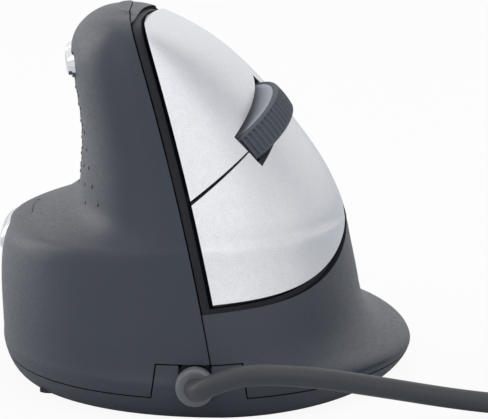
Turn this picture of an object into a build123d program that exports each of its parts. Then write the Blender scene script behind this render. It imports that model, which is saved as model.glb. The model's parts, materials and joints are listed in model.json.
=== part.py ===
from build123d import *
import math
import os

os.makedirs("parts", exist_ok=True)

# A left-handed vertical mouse. +X is the finger side, -X the thumb side, -Y the front where
# the cord leaves, +Y the heel, +Z up. The glide feet stand on Z = 0. Lengths are in millimetres.

# Overall size
half_width = 40.6
half_length = 59.0
body_height = 71.6
foot_height = 0.8

# Housing
wall = 2.2
base_floor = 2.0
base_rim_height = 3.9
seam_gap = 0.24
crease_setback = 0.4
overrun = 30.0

# Keys and the frame behind them
bezel_width = 2.4
bezel_gap = 1.5
bezel_recess = 1.2
key_thickness = 2.4
key_travel_room = 1.6
flange_depth = 3.8
key_gap = 0.35
key_front_gap = 0.8
frame_thickness = 1.4
frame_flange = 2.6
fit_gap = 0.1

# Scroll wheel
wheel_radius = 12.0
tyre_width = 5.8
slot_clearance = 1.0
tyre_gap = 0.6
slot_front_reach = 10.4
slot_heel_reach = 12.2
slot_corner = 1.5

# Tab of the base plate and strain relief
tab_width = 17.2
tab_height = 6.2
tab_taper = 0.9
tab_depth = 6.0
tab_centre_share = -0.005
relief_neck_radius = 2.9
relief_x = -0.9
relief_z = 7.6

# Bosses and screws
boss_radius = 3.2
boss_web = 1.6
boss_height = 13.0
screw_radius = 1.0
screw_length = 8.0
screw_head_radius = 2.0
screw_head_height = 1.2
thumb_boss_shares = ((-0.70, -0.58), (-0.72, 0.54))
finger_boss_shares = ((0.46, -0.58), (0.50, 0.50))

# Main board
board_height = 7.4
board_thickness = 1.6
board_post_radius = 2.6
board_screw_length = 4.0
board_post_shares = ((-0.49, -0.51), (-0.54, 0.44), (0.345, -0.407), (0.394, 0.407))
sensor_shares = (-0.1, -0.07)
window_length = 13.0
window_width = 8.0

# Key hinge, stems and the finger board, on the finger plane: along, up it and out of it
hinge_low_shares = (0.381, -0.237, -0.135)
hinge_high_shares = (0.381, 0.349, -0.547)
rod_radius = 1.0
rod_gap = 0.05
knuckle_radius = 2.2
knuckle_width = 2.4
window_gap = 0.6
index_knuckle_shares = (0.73, 0.89)
middle_knuckle_shares = (0.10, 0.45)
frame_lug_shares = (0.03, 0.27, 0.60, 0.97)
index_stem_shares = (-0.237, 0.112)
middle_stem_shares = (-0.237, -0.251)
stem_radius = 2.0
plunger_stand = 0.6
finger_board_level = -13.4
hanger_radius = 2.0
board_hanger_shares = ((-0.288, 0.014), (0.136, -0.279), (0.034, 0.223))
guide_reach = 17.0
guide_radius = 1.5
well_margin = 2.3

board_corner = 2.0
well_side_margin = 5.0
finger_board_shares = (
    (-0.322, -0.335),
    (0.254, -0.335),
    (0.254, 0.258),
    (-0.025, 0.258),
    (-0.169, 0.154),
    (-0.322, 0.154),
)

# Click switches and their plungers
switch_length = 12.8
switch_width = 5.8
switch_height = 6.5
switch_offset = 2.0
plunger_radius = 1.1
plunger_gap = 0.06
plunger_bore = 1.6
plunger_length = 1.6
contact_gap = 0.05
tact_width = 4.5
tact_height = 3.0
tact_stroke = 0.55
tact_bore = 1.6
tact_plunger_length = 1.6
tact_reach = 13.0

# Wheel, axle and carrier
hub_radius = 10.4
hub_inset = 0.15
hub_rim = 1.2
hub_boss_radius = 3.0
hub_dish = 0.4
tyre_round = 0.5
tyre_rim = 0.5
tyre_groove_count = 60
tyre_groove_depth = 0.45
tyre_groove_width = 0.62
axle_radius = 1.2
axle_gap = 0.05
axle_short_reach = 5.1
axle_long_reach = 8.0
cheek_gap = 0.6
cheek_thickness = 1.6
cheek_radius = 2.2
cheek_foot = 6.0
cradle_reach = 19.8
cradle_thickness = 1.6
ear_length = 9.0
guide_gap = 0.08
encoder_size = 5.0
encoder_thickness = 2.8

# Thumb buttons and board
button_height_share = 0.848
button_length = 15.4
button_width = 4.8
button_gap = 0.25
button_rise = 0.6
button_crown_rise = 1.2
button_crown_inset = 0.7
button_flange = 0.8
button_flange_depth = 3.3
button_flange_thickness = 0.8
button_stem_radius = 1.5
button_prism_depth = 25.0
trim_prism_depth = 8.0
forward_button_share = -0.381
back_button_share = -0.088
thumb_board_share = -0.4089
thumb_board_drop = 1.8
thumb_board_length = 33.0
thumb_board_width = 12.5
thumb_board_thickness = 1.2
thumb_post_reach = 10.5
thumb_post_drop = 3.9
thumb_post_radius = 2.0
thumb_tact_height = 2.6
thumb_tact_bore = 1.4
thumb_plunger_length = 1.4
thumb_plunger_stand = 0.55
thumb_stem_length = 2.4

# Trim on the thumb rest
trim_place_shares = (-0.051, 0.372)
trim_length = 23.0
trim_width = 7.0
trim_rise = 1.3
trim_sink = 0.7

# Chips and headers
board_centre_shares = (-0.1, -0.017)
board_width = 48.0
board_length = 90.0
board_round = 16.0
board_relief = 1.0
aperture_length = 10.0
aperture_width = 6.0
sensor_length = 12.4
sensor_width = 9.2
sensor_height = 3.2
chip_chamfer = 0.3
lens_length = 20.0
lens_width = 14.0
lens_flange = 1.4
lens_radius = 3.4
lens_taper = 8.0
led_gap = 0.8
led_length = 5.2
led_radius = 1.5
led_flange = 0.9
led_flange_radius = 1.9
led_round = 1.2
controller_shares = (0.148, 0.203)
controller_size = 9.0
controller_height = 1.5
capacitor_shares = ((-0.394, 0.203), (-0.394, 0.305), (0.197, -0.203))
capacitor_radius = 2.0
capacitor_height = 5.0
crystal_shares = (-0.099, 0.339)
crystal_length = 10.0
crystal_width = 4.0
crystal_height = 3.4
header_length = 11.0
header_width = 4.4
header_height = 5.6
header_rise = 3.2
finger_ribbon_shares = (-0.059, -0.402)
finger_ribbon_rise = 9.6
finger_ribbon_drop = 4.3
thumb_ribbon_shares = (-0.468, -0.203)
thumb_ribbon_bend_shares = (0.631, 0.52)
thumb_header_drop = 3.5
ribbon_bend = 3.0
ribbon_thickness = 0.5
ribbon_width = 8.0
lead_header_share = -0.644
lead_step = 4.0
lead_drop = 2.8
lead_bend = 2.5
lead_radius = 1.3

# Strain relief
relief_seat = 0.75
relief_flange = 1.4
relief_flange_radius = 3.6
relief_collar_gap = 0.2
relief_collar = 2.6
relief_collar_radius = 3.5
relief_round = 0.8

# Cord: its free points, chosen by hand, then the coil of the length out of sight
cord_radius = 1.9
arc_run_share = 0.45
cord_route = [
    (-0.9, -66.2, 7.6),
    (2.2, -69.2, 10.0),
    (8.6, -70.2, 12.2),
    (20.0, -66.8, 10.9),
    (33.0, -58.6, 7.1),
    (46.0, -52.0, 3.5),
    (57.0, -50.4, 1.9),
    (70.0, -50.0, 1.9),
]
coil_x = 86.0
coil_outer_radius = 26.6
coil_pitch = 4.4
coil_layers = 4
layer_turns = 2.5
coil_turns = 10.25
climb_half_turns = 0.25
turn_tolerance = 0.01
coil_sides = 10
coil_samples = 700
coil_near_share = 0.02
cord_tail_route = [
    (113.7, -8.0, 15.1),
    (113.2, 4.0, 10.5),
    (113.0, 15.0, 5.3),
    (113.0, 24.0, 4.0),
]
tail_last_run = 8.0

# USB plug
plug_height = 8.0
plug_width = 15.6
plug_length = 18.0
plug_round = 1.6
plug_relief_length = 8.0
plug_relief_radius = 3.2
plug_taper = 4.0
usb_width = 12.0
usb_height = 4.5
usb_length = 12.0
usb_round = 0.6
usb_sheet = 0.3
usb_window = 2.2
usb_window_reach = 2.8
tongue_length = 11.4
tongue_thickness = 1.8
contact_length = 9.0
contact_width = 1.0
contact_thickness = 0.2
contact_pitch = 2.4
contact_count = 4

# Glide feet
glide_round = 2.4
glide_width = 6.0
end_glide_length = 24.0
side_glide_length = 20.0
end_glide_shares = ((-0.05, -0.76), (-0.05, 0.76))
side_glide_shares = ((-0.74, 0), (0.68, -0.05))

# Places on the body, as shares of the half width, the half length and the body height
wheel_place_shares = (0.158, -0.501, 0.676)
finger_normal_shares = (0.751, -0.501, 0.431)
wheel_turn = 31.0
key_outline_shares = (
    (-0.576, -0.362),
    (-0.136, -0.440),
    (0.276, -0.342),
    (0.551, -0.084),
    (0.305, 0.419),
    (-0.102, 0.366),
    (-0.576, 0.230),
)
divider_shares = ((-0.576, -0.221), (-0.149, -0.075), (0.178, 0.088), (0.678, 0.265))
divider_front_gap = 1.1
divider_slot_gap = 0.35
key_prism_top = 16.0
key_prism_depth = 42.0

# Waterlines from the base to the crest. A row holds the height, then the thumb side, the finger
# side, the front and the heel, then where the thumb and finger sides are widest, then how full
# the front and heel corners of the thumb side are, all as shares, and last the crease in degrees
# by which the finger side turns back from the parting line.
waterline_shares = [
    (-0.030, -0.780, 0.740, -0.860, 0.860, -0.03, -0.10, 0.60, 0.60, 4),
    (0.000, -0.862, 0.847, -0.930, 0.932, -0.03, -0.10, 0.60, 0.60, 4),
    (0.032, -0.938, 0.960, -0.980, 0.985, -0.03, -0.10, 0.60, 0.60, 6),
    (0.073, -0.963, 0.998, -1.000, 1.000, -0.03, -0.08, 0.61, 0.60, 8),
    (0.109, -0.966, 0.874, -0.995, 0.995, -0.03, -0.08, 0.62, 0.60, 9),
    (0.165, -0.970, 0.776, -0.981, 0.976, -0.03, -0.10, 0.63, 0.60, 11),
    (0.260, -0.975, 0.736, -0.959, 0.936, -0.02, -0.14, 0.64, 0.59, 13),
    (0.344, -0.963, 0.706, -0.939, 0.892, -0.02, -0.17, 0.65, 0.57, 14),
    (0.391, -0.936, 0.690, -0.929, 0.861, -0.03, -0.19, 0.66, 0.49, 14),
    (0.422, -0.810, 0.680, -0.922, 0.837, -0.04, -0.20, 0.67, 0.40, 14),
    (0.444, -0.698, 0.668, -0.915, 0.817, -0.04, -0.20, 0.68, 0.49, 14),
    (0.475, -0.614, 0.650, -0.907, 0.786, -0.02, -0.22, 0.70, 0.58, 14),
    (0.531, -0.587, 0.606, -0.890, 0.725, -0.02, -0.24, 0.72, 0.60, 14),
    (0.640, -0.575, 0.485, -0.859, 0.607, -0.04, -0.27, 0.74, 0.58, 14),
    (0.749, -0.592, 0.340, -0.829, 0.475, -0.06, -0.31, 0.74, 0.59, 13),
    (0.841, -0.616, 0.188, -0.802, 0.339, -0.10, -0.32, 0.72, 0.60, 12),
    (0.911, -0.606, 0.036, -0.776, 0.203, -0.17, -0.34, 0.68, 0.60, 10),
    (0.961, -0.535, -0.127, -0.736, 0.068, -0.24, -0.36, 0.62, 0.60, 8),
    (0.986, -0.460, -0.245, -0.653, -0.102, -0.31, -0.37, 0.58, 0.60, 5),
    (0.999, -0.395, -0.318, -0.560, -0.220, -0.36, -0.38, 0.56, 0.60, 0),
]
finger_fullness_share = 0.51
heel_fullness_share = 0.60
heel_foot_share = -0.003
heel_turn_share = -0.335
parting_shares = (0.089, -0.048, -0.325)
crest_power = 6
shallow_depth = 1.5
deep_first_row = 5
deep_last_row = -2


rim_height = foot_height + base_rim_height
finger_plane = Plane(
    origin=(
        wheel_place_shares[0] * half_width,
        wheel_place_shares[1] * half_length,
        foot_height + wheel_place_shares[2] * body_height,
    ),
    x_dir=(-finger_normal_shares[1], finger_normal_shares[0], 0),
    z_dir=finger_normal_shares,
)
turn = math.radians(wheel_turn)
wheel_frame = Plane(
    origin=finger_plane.origin,
    x_dir=finger_plane.x_dir * math.cos(turn) + finger_plane.y_dir * math.sin(turn),
    z_dir=finger_plane.z_dir,
)


def height_at(share):
    return foot_height + share * body_height


def place(x_share, y_share, z_share):
    return Vector(x_share * half_width, y_share * half_length, height_at(z_share))


def parting_x(share):
    foot, middle, crest = parting_shares
    rest = 1 - share
    return half_width * (foot * rest**2 + 2 * middle * rest * share + crest * share**2)


def inset_side(index, column, unit, depth):
    # Moves one side of a waterline in by a depth measured square to the surface there.
    low = waterline_shares[max(index - 1, 0)]
    high = waterline_shares[min(index + 1, len(waterline_shares) - 1)]
    row = waterline_shares[index]
    rise = (high[0] - low[0]) * body_height
    lean = math.atan(abs((high[column] - low[column]) * unit) / rise)
    drop_share = max(row[0], 0) ** crest_power
    inward = depth * (1 - drop_share * math.sin(lean)) / math.cos(lean)
    side = row[column] * unit
    return side - inward if column in (2, 4) else side + inward


def waterline(index, depth, level):
    # One level outline of the body: four quarters, smooth but for the crease at the front.
    share, fullness, thumb_heel_fullness, crease = (
        waterline_shares[index][column] for column in (0, 7, 8, 9)
    )
    thumb = inset_side(index, 1, half_width, depth)
    finger = inset_side(index, 2, half_width, depth)
    front = inset_side(index, 3, half_length, depth)
    heel = inset_side(index, 4, half_length, depth)
    thumb_y = waterline_shares[index][5] * half_length
    finger_y = waterline_shares[index][6] * half_length
    front_x = parting_x(share) + crease_setback
    heel_x = half_width * (heel_foot_share + heel_turn_share * share)
    crease_x = (finger - front_x) * finger_fullness_share * math.cos(math.radians(crease))
    crease_y = (finger - front_x) * finger_fullness_share * math.sin(math.radians(crease))
    with BuildSketch(Plane.XY.offset(level)) as outline:
        with BuildLine():
            Bezier(
                (thumb, thumb_y),
                (thumb, thumb_y + (front - thumb_y) * fullness),
                (front_x + (thumb - front_x) * fullness, front),
                (front_x, front),
            )
            Bezier(
                (front_x, front),
                (front_x + crease_x, front + crease_y),
                (finger, finger_y + (front - finger_y) * finger_fullness_share),
                (finger, finger_y),
            )
            Bezier(
                (finger, finger_y),
                (finger, finger_y + (heel - finger_y) * heel_fullness_share),
                (heel_x + (finger - heel_x) * heel_fullness_share, heel),
                (heel_x, heel),
            )
            Bezier(
                (heel_x, heel),
                (heel_x + (thumb - heel_x) * thumb_heel_fullness, heel),
                (thumb, thumb_y + (heel - thumb_y) * thumb_heel_fullness),
                (thumb, thumb_y),
            )
        make_face()
    return outline.sketch


def hull(depth):
    # The whole body as a loft, with its surface moved in by a depth, or out if it is negative.
    # A deep one is upright below the flare and flat under the crest.
    deep = depth > shallow_depth
    indexes = range(len(waterline_shares))
    if deep:
        indexes = indexes[deep_first_row:deep_last_row]
    sections = []
    for index in indexes:
        share = waterline_shares[index][0]
        drop = depth * max(share, 0) ** crest_power
        sections.append(waterline(index, depth, height_at(share) - drop))
    with BuildPart() as body:
        loft(sections, clean=False)
        if deep:
            extrude(sections[0], amount=-body_height)
        split(bisect_by=Plane.XY.offset(foot_height))
    return body.part


def beside_parting(shift, side):
    # All that lies on one side of the parting line, moved across it: -1 thumb, +1 finger.
    foot, middle, crest = (share * half_width + shift for share in parting_shares)
    far = side * 2 * half_width
    low, high = foot_height - overrun, height_at(1) + overrun
    with BuildPart() as region:
        with BuildSketch(Plane.XZ):
            with BuildLine():
                Bezier((foot, height_at(0)), (middle, height_at(1 / 2)), (crest, height_at(1)))
                Polyline(
                    (crest, height_at(1)),
                    (crest, high),
                    (far, high),
                    (far, low),
                    (foot, low),
                    (foot, height_at(0)),
                )
            make_face()
        extrude(amount=2 * half_length, both=True)
    return region.part


def tab_region(gap):
    # The raised tab of the base plate, round the cord exit.
    centre = tab_centre_share * half_width
    foot, top = tab_width / 2 + gap, tab_width / 2 - tab_taper + gap
    with BuildPart() as region:
        with BuildSketch(Plane.XZ.offset(half_length - tab_depth - gap)):
            with BuildLine():
                Polyline(
                    (centre - foot, rim_height - wall),
                    (centre - foot, rim_height),
                    (centre - top, rim_height + tab_height + gap),
                    (centre + top, rim_height + tab_height + gap),
                    (centre + foot, rim_height),
                    (centre + foot, rim_height - wall),
                    close=True,
                )
            make_face()
        extrude(amount=tab_depth + overrun)
    return region.part


def key_point(shares):
    return (shares[0] * half_length, shares[1] * body_height)


def floor_point(shares):
    return (shares[0] * half_width, shares[1] * half_length)


def key_prism(gap):
    # The outline of both keys, widened by a gap, as a prism square to the finger plane.
    low_front, low_middle, low_heel, heel, top_heel, top_middle, top_front = (
        key_point(shares) for shares in key_outline_shares
    )
    with BuildPart() as prism:
        with BuildSketch(finger_plane.offset(key_prism_top)):
            with BuildLine():
                lower = ThreePointArc(low_front, low_middle, low_heel)
                heel_low = TangentArc(low_heel, heel, tangent=lower % 1)
                TangentArc(heel, top_heel, tangent=heel_low % 1)
                ThreePointArc(top_heel, top_middle, top_front)
                Line(top_front, low_front)
            make_face()
            if gap:
                offset(amount=gap)
        extrude(amount=-key_prism_depth)
    return prism.part


def divider_side(side):
    # One side of the line that parts the keys: +1 above it, -1 below it.
    front, slot_front, slot_heel, heel = (key_point(shares) for shares in divider_shares)
    far = 2 * half_length
    with BuildPart() as region:
        with BuildSketch(finger_plane.offset(key_prism_top)):
            with BuildLine():
                Polyline(
                    (front[0], front[1] + side * divider_front_gap / 2),
                    (slot_front[0], slot_front[1] + side * divider_slot_gap / 2),
                    (slot_heel[0], slot_heel[1] + side * divider_slot_gap / 2),
                    (heel[0], heel[1] + side * divider_slot_gap / 2),
                    (heel[0], side * far),
                    (front[0], side * far),
                    close=True,
                )
            make_face()
        extrude(amount=-key_prism_depth)
    return region.part


def slot_prism(end_margin, side_margin):
    # The wheel's slot through the keys, or the wider well behind it.
    length = slot_front_reach + slot_heel_reach + 2 * end_margin
    width = tyre_width + 2 * (slot_clearance + side_margin)
    middle = (slot_heel_reach - slot_front_reach) / 2
    with BuildPart() as prism:
        with BuildSketch(wheel_frame.offset(key_prism_top)):
            with Locations((middle, 0)):
                RectangleRounded(length, width, slot_corner)
        extrude(amount=-key_prism_depth)
    return prism.part


def tyre_room(gap):
    # The room that the tyre turns in, as wide as the slot.
    plane = Plane(origin=wheel_frame.origin, x_dir=wheel_frame.x_dir, z_dir=wheel_frame.y_dir)
    with BuildPart() as room:
        with BuildSketch(plane):
            Circle(wheel_radius + gap)
        extrude(amount=tyre_width / 2 + slot_clearance, both=True)
    return room.part


def barrel(low, high, radius):
    # A round bar between two points.
    axis = Vector(*high) - Vector(*low)
    with BuildPart() as bar:
        with BuildSketch(Plane(origin=low, z_dir=axis)):
            Circle(radius)
        extrude(amount=axis.length)
    return bar.part


def out_post(x, y, low, high, radius, frame):
    # A round post square to the finger plane, at a place on one of its frames.
    with BuildPart() as post:
        with BuildSketch(frame.offset(low)):
            with Locations((x, y)):
                Circle(radius)
        extrude(amount=high - low)
    return post.part


def save(piece, name):
    piece.label = name
    export_step(piece, f"parts/{name}.step")


# Places worked out from their shares
boss_places = {
    -1: [floor_point(shares) for shares in thumb_boss_shares],
    +1: [floor_point(shares) for shares in finger_boss_shares],
}
board_post_places = [floor_point(shares) for shares in board_post_shares]
board_hanger_places = [key_point(shares) for shares in board_hanger_shares]
sensor_place = floor_point(sensor_shares)
index_stem_place = key_point(index_stem_shares)
middle_stem_place = key_point(middle_stem_shares)
board_top = board_height + board_thickness
board_back = finger_board_level - board_thickness
forward_button_y = forward_button_share * half_length
back_button_y = back_button_share * half_length
button_z = height_at(button_height_share)
thumb_board_x = thumb_board_share * half_width
thumb_board_y = (forward_button_y + back_button_y) / 2
thumb_board_z = button_z - thumb_board_drop
thumb_post_places = [
    (thumb_board_y + side * thumb_post_reach, thumb_board_z - thumb_post_drop) for side in (-1, 1)
]
thumb_stem_x = thumb_board_x - thumb_tact_height - thumb_plunger_stand - contact_gap

# Bodies that the shells and keys are cut from
envelope = hull(0)
cavity = hull(wall)
mid_wall = hull(wall / 2)


def sunk(depth):
    # The body moved in along the way that the keys are pressed.
    return envelope.moved(Location(finger_plane.z_dir * -depth))


thumb_plane = Plane.YZ.offset(-half_width - overrun)


def button_prism(centre_y, gap):
    # The outline of a thumb button, widened by a gap, as a prism through the thumb wall.
    with BuildPart() as prism:
        with BuildSketch(thumb_plane):
            with Locations((centre_y, button_z)):
                SlotOverall(button_length + 2 * gap, button_width + 2 * gap)
        extrude(amount=overrun + button_prism_depth)
    return prism.part


def wall_shift(shift):
    # The body moved across the mouse, out from the thumb side or in.
    return envelope.moved(Location((-shift, 0, 0)))


def thumb_post(y, z, low, high, radius):
    # A round bar across the mouse, from one place to another along X.
    return barrel((low, y, z), (high, y, z), radius)


with BuildPart() as trim_bar:
    with BuildSketch(thumb_plane):
        with Locations((trim_place_shares[0] * half_length, height_at(trim_place_shares[1]))):
            SlotOverall(trim_length, trim_width)
    extrude(amount=overrun + trim_prism_depth)
trim_prism = trim_bar.part


# Shells and base plate
def shell_bosses(side):
    # Screw bosses that stand on the base plate, each webbed to the nearest wall.
    low = foot_height + base_floor + fit_gap
    with BuildPart() as bosses:
        for x, y in boss_places[side]:
            with BuildSketch(Plane.XY.offset(low)):
                with Locations((x, y)):
                    Circle(boss_radius)
                with Locations((x + side * half_width / 2, y)):
                    Rectangle(half_width, boss_web)
            extrude(amount=boss_height)
        add(mid_wall, mode=Mode.INTERSECT)
        for x, y in boss_places[side]:
            with BuildSketch(Plane.XY.offset(low)):
                with Locations((x, y)):
                    Circle(screw_radius + fit_gap)
            extrude(amount=screw_length, mode=Mode.SUBTRACT)
    return bosses.part


with BuildPart() as tab:
    add(envelope)
    add(cavity, mode=Mode.SUBTRACT)
    add(tab_region(0), mode=Mode.INTERSECT)

with BuildPart() as tray_room:
    add(cavity)
    split(bisect_by=Plane.XY.offset(foot_height + base_floor), keep=Keep.TOP)

with BuildPart() as base_plate:
    add(envelope)
    split(bisect_by=Plane.XY.offset(rim_height), keep=Keep.BOTTOM)
    add(tray_room.part, mode=Mode.SUBTRACT)
    add(tab.part)
    with BuildSketch(Plane.XY.offset(foot_height + base_floor)):
        with Locations(*board_post_places):
            Circle(board_post_radius)
    extrude(amount=board_height - foot_height - base_floor)
    with BuildSketch(Plane.XY.offset(board_height)):
        with Locations(*board_post_places):
            Circle(screw_radius + fit_gap)
    extrude(amount=-board_screw_length, mode=Mode.SUBTRACT)
    with BuildSketch(Plane.XY.offset(foot_height)):
        with Locations(*boss_places[-1], *boss_places[+1]):
            Circle(screw_radius + fit_gap)
        with Locations(sensor_place):
            SlotOverall(window_length, window_width)
    extrude(amount=base_floor, mode=Mode.SUBTRACT)
    with BuildSketch(Plane.XY.offset(foot_height)):
        with Locations(*boss_places[-1], *boss_places[+1]):
            Circle(screw_head_radius + fit_gap)
    extrude(amount=screw_head_height, mode=Mode.SUBTRACT)
    with BuildSketch(Plane.XZ.offset(half_length - tab_depth)):
        with Locations((relief_x, relief_z)):
            Circle(relief_neck_radius + fit_gap)
        with Locations((relief_x, relief_z + tab_height)):
            Rectangle(2 * (relief_neck_radius + fit_gap), 2 * tab_height)
    extrude(amount=tab_depth + overrun, mode=Mode.SUBTRACT)
save(base_plate.part, "base_plate")


def wall_post(y, z):
    # A post from the thumb wall to the thumb board, with a hole for its screw.
    with BuildPart() as post:
        add(thumb_post(y, z, -half_width, thumb_board_x, thumb_post_radius))
        add(mid_wall, mode=Mode.INTERSECT)
        screw_foot = thumb_board_x - board_screw_length
        add(thumb_post(y, z, screw_foot, thumb_board_x, screw_radius + fit_gap), mode=Mode.SUBTRACT)
    return post.part


with BuildPart() as trim_pocket:
    add(trim_prism)
    add(wall_shift(-trim_sink), mode=Mode.SUBTRACT)

with BuildPart() as thumb_shell:
    add(envelope)
    add(cavity, mode=Mode.SUBTRACT)
    add(beside_parting(-seam_gap / 2, -1), mode=Mode.INTERSECT)
    add(shell_bosses(-1))
    split(bisect_by=Plane.XY.offset(rim_height + seam_gap), keep=Keep.TOP)
    add(tab_region(seam_gap), mode=Mode.SUBTRACT)
    for y, z in thumb_post_places:
        add(wall_post(y, z))
    for centre_y in (forward_button_y, back_button_y):
        add(button_prism(centre_y, 0), mode=Mode.SUBTRACT)
    add(trim_pocket.part, mode=Mode.SUBTRACT)
save(thumb_shell.part, "thumb_shell")

with BuildPart() as finger_shell:
    add(envelope)
    add(cavity, mode=Mode.SUBTRACT)
    add(beside_parting(seam_gap / 2, 1), mode=Mode.INTERSECT)
    add(shell_bosses(1))
    split(bisect_by=Plane.XY.offset(rim_height + seam_gap), keep=Keep.TOP)
    add(tab_region(seam_gap), mode=Mode.SUBTRACT)
    add(key_prism(bezel_gap), mode=Mode.SUBTRACT)
save(finger_shell.part, "finger_shell")

# Keys, their frame and hinge
stem_level = finger_board_level + switch_height + plunger_stand + contact_gap
hinge_low, hinge_high = (
    finger_plane.from_local_coords((*key_point(shares), shares[2] * half_width))
    for shares in (hinge_low_shares, hinge_high_shares)
)
hinge_axis = (hinge_high - hinge_low).normalized()


def hinge_point(share):
    return hinge_low + (hinge_high - hinge_low) * share


def knuckle(share, width, gap):
    # A plate across the hinge rod, reaching out towards the key, or the window that clears it.
    outward = finger_plane.z_dir
    frame = Plane(origin=hinge_point(share), x_dir=outward.cross(hinge_axis), z_dir=hinge_axis)
    with BuildPart() as plate:
        with BuildSketch(frame):
            Circle(knuckle_radius + gap)
            with Locations((0, key_prism_top / 2)):
                Rectangle(2 * (knuckle_radius + gap), key_prism_top)
        extrude(amount=width / 2 + gap, both=True)
    return plate.part


def key(side, knuckle_shares, stem_place):
    # One silver key: a curved cap with two hinge knuckles and the stem that works its switch.
    with BuildPart() as cap:
        add(key_prism(0))
        add(sunk(key_thickness), mode=Mode.SUBTRACT)
        for share in knuckle_shares:
            add(knuckle(share, knuckle_width, 0))
        add(out_post(*stem_place, stem_level, key_prism_top, stem_radius, finger_plane))
        add(beside_parting(bezel_width, 1), mode=Mode.INTERSECT)
        add(divider_side(side), mode=Mode.INTERSECT)
        add(slot_prism(0, 0), mode=Mode.SUBTRACT)
        add(tyre_room(tyre_gap), mode=Mode.SUBTRACT)
        add(barrel(hinge_point(-1), hinge_point(2), rod_radius + rod_gap), mode=Mode.SUBTRACT)
        add(envelope, mode=Mode.INTERSECT)
    return cap.part


index_key = key(1, index_knuckle_shares, index_stem_place)
middle_key = key(-1, middle_knuckle_shares, middle_stem_place)
save(index_key, "index_key")
save(middle_key, "middle_key")

# The frame: the ring that shows round the keys, its flange under the shell, the plate behind
with BuildPart() as frame_flange_body:
    add(sunk(flange_depth))
    add(key_prism(bezel_gap + frame_flange), mode=Mode.INTERSECT)
    add(cavity.moved(Location(finger_plane.z_dir * -fit_gap)), mode=Mode.INTERSECT)

with BuildPart() as key_pocket:
    add(key_prism(key_gap))
    add(sunk(key_thickness + key_travel_room), mode=Mode.SUBTRACT)
    add(beside_parting(bezel_width - key_front_gap, 1), mode=Mode.INTERSECT)

with BuildPart() as hangers:
    for x, y in board_hanger_places:
        add(out_post(x, y, finger_board_level, key_prism_top, hanger_radius, finger_plane))
    for x in (-guide_reach, guide_reach):
        add(out_post(x, 0, finger_board_level, key_prism_top, guide_radius, wheel_frame))
    for share in frame_lug_shares:
        add(knuckle(share, knuckle_width, 0))
    add(sunk(key_thickness + key_travel_room + frame_thickness / 2), mode=Mode.INTERSECT)

with BuildPart() as key_frame:
    add(sunk(bezel_recess))
    add(key_prism(bezel_gap - fit_gap), mode=Mode.INTERSECT)
    add(frame_flange_body.part)
    add(key_pocket.part, mode=Mode.SUBTRACT)
    add(sunk(key_thickness + key_travel_room + frame_thickness), mode=Mode.SUBTRACT)
    add(hangers.part)
    add(slot_prism(well_margin, well_side_margin), mode=Mode.SUBTRACT)
    for share in index_knuckle_shares + middle_knuckle_shares:
        add(knuckle(share, knuckle_width, window_gap), mode=Mode.SUBTRACT)
    for x, y in board_hanger_places:
        screw_end = board_back + board_screw_length + fit_gap
        bore = screw_radius + fit_gap
        add(
            out_post(x, y, finger_board_level, screw_end, bore, finger_plane), mode=Mode.SUBTRACT
        )
    for place_on_board in (index_stem_place, middle_stem_place):
        clearance = stem_radius + window_gap
        add(
            out_post(*place_on_board, finger_board_level, key_prism_top, clearance, finger_plane),
            mode=Mode.SUBTRACT,
        )
    add(barrel(hinge_point(-1), hinge_point(2), rod_radius + fit_gap / 4), mode=Mode.SUBTRACT)
    add(beside_parting(seam_gap / 2, 1), mode=Mode.INTERSECT)
save(key_frame.part, "key_frame")

save(barrel(hinge_low, hinge_high, rod_radius), "key_hinge_rod")

# Finger board and its switches
with BuildPart() as finger_board:
    with BuildSketch(finger_plane.offset(finger_board_level)):
        with BuildLine():
            Polyline(*(key_point(shares) for shares in finger_board_shares), close=True)
        make_face()
    extrude(amount=-board_thickness)
    fillet(finger_board.edges().filter_by(Axis(finger_plane.origin, finger_plane.z_dir)), radius=board_corner)
    with BuildSketch(finger_plane.offset(finger_board_level)):
        with Locations(*board_hanger_places):
            Circle(screw_radius + fit_gap)
    extrude(amount=-board_thickness, mode=Mode.SUBTRACT)
save(finger_board.part, "finger_board")


def key_switch(stem_place):
    # The body of a click switch, with the bore that its plunger runs in.
    top = finger_board_level + switch_height
    centre = (stem_place[0] + switch_offset, stem_place[1])
    with BuildPart() as switch:
        with BuildSketch(finger_plane.offset(finger_board_level)):
            with Locations(centre):
                Rectangle(switch_length, switch_width)
        extrude(amount=switch_height)
        with BuildSketch(finger_plane.offset(top)):
            with Locations(stem_place):
                Circle(plunger_radius + plunger_gap)
        extrude(amount=-plunger_bore, mode=Mode.SUBTRACT)
    return switch.part


def key_plunger(stem_place):
    # The plunger that a key's stem presses.
    top = stem_level - contact_gap
    return out_post(*stem_place, top - plunger_length, top, plunger_radius, finger_plane)


save(key_switch(index_stem_place), "index_switch")
save(key_switch(middle_stem_place), "middle_switch")
save(key_plunger(index_stem_place), "index_plunger")
save(key_plunger(middle_stem_place), "middle_plunger")

with BuildPart() as wheel_switch:
    with BuildSketch(wheel_frame.offset(finger_board_level)):
        with Locations((-tact_reach, 0)):
            Rectangle(tact_width, tact_width)
    extrude(amount=tact_height)
    with BuildSketch(wheel_frame.offset(finger_board_level + tact_height)):
        with Locations((-tact_reach, 0)):
            Circle(plunger_radius + plunger_gap)
    extrude(amount=-tact_bore, mode=Mode.SUBTRACT)
save(wheel_switch.part, "wheel_switch")

cradle_foot = finger_board_level + tact_height + tact_stroke + contact_gap
save(
    out_post(-tact_reach, 0, cradle_foot - contact_gap - tact_plunger_length,
             cradle_foot - contact_gap, plunger_radius, wheel_frame),
    "wheel_plunger",
)

# Scroll wheel and its carrier
axle_plane = Plane(
    origin=wheel_frame.origin, x_dir=wheel_frame.x_dir, z_dir=wheel_frame.y_dir
)

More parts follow.
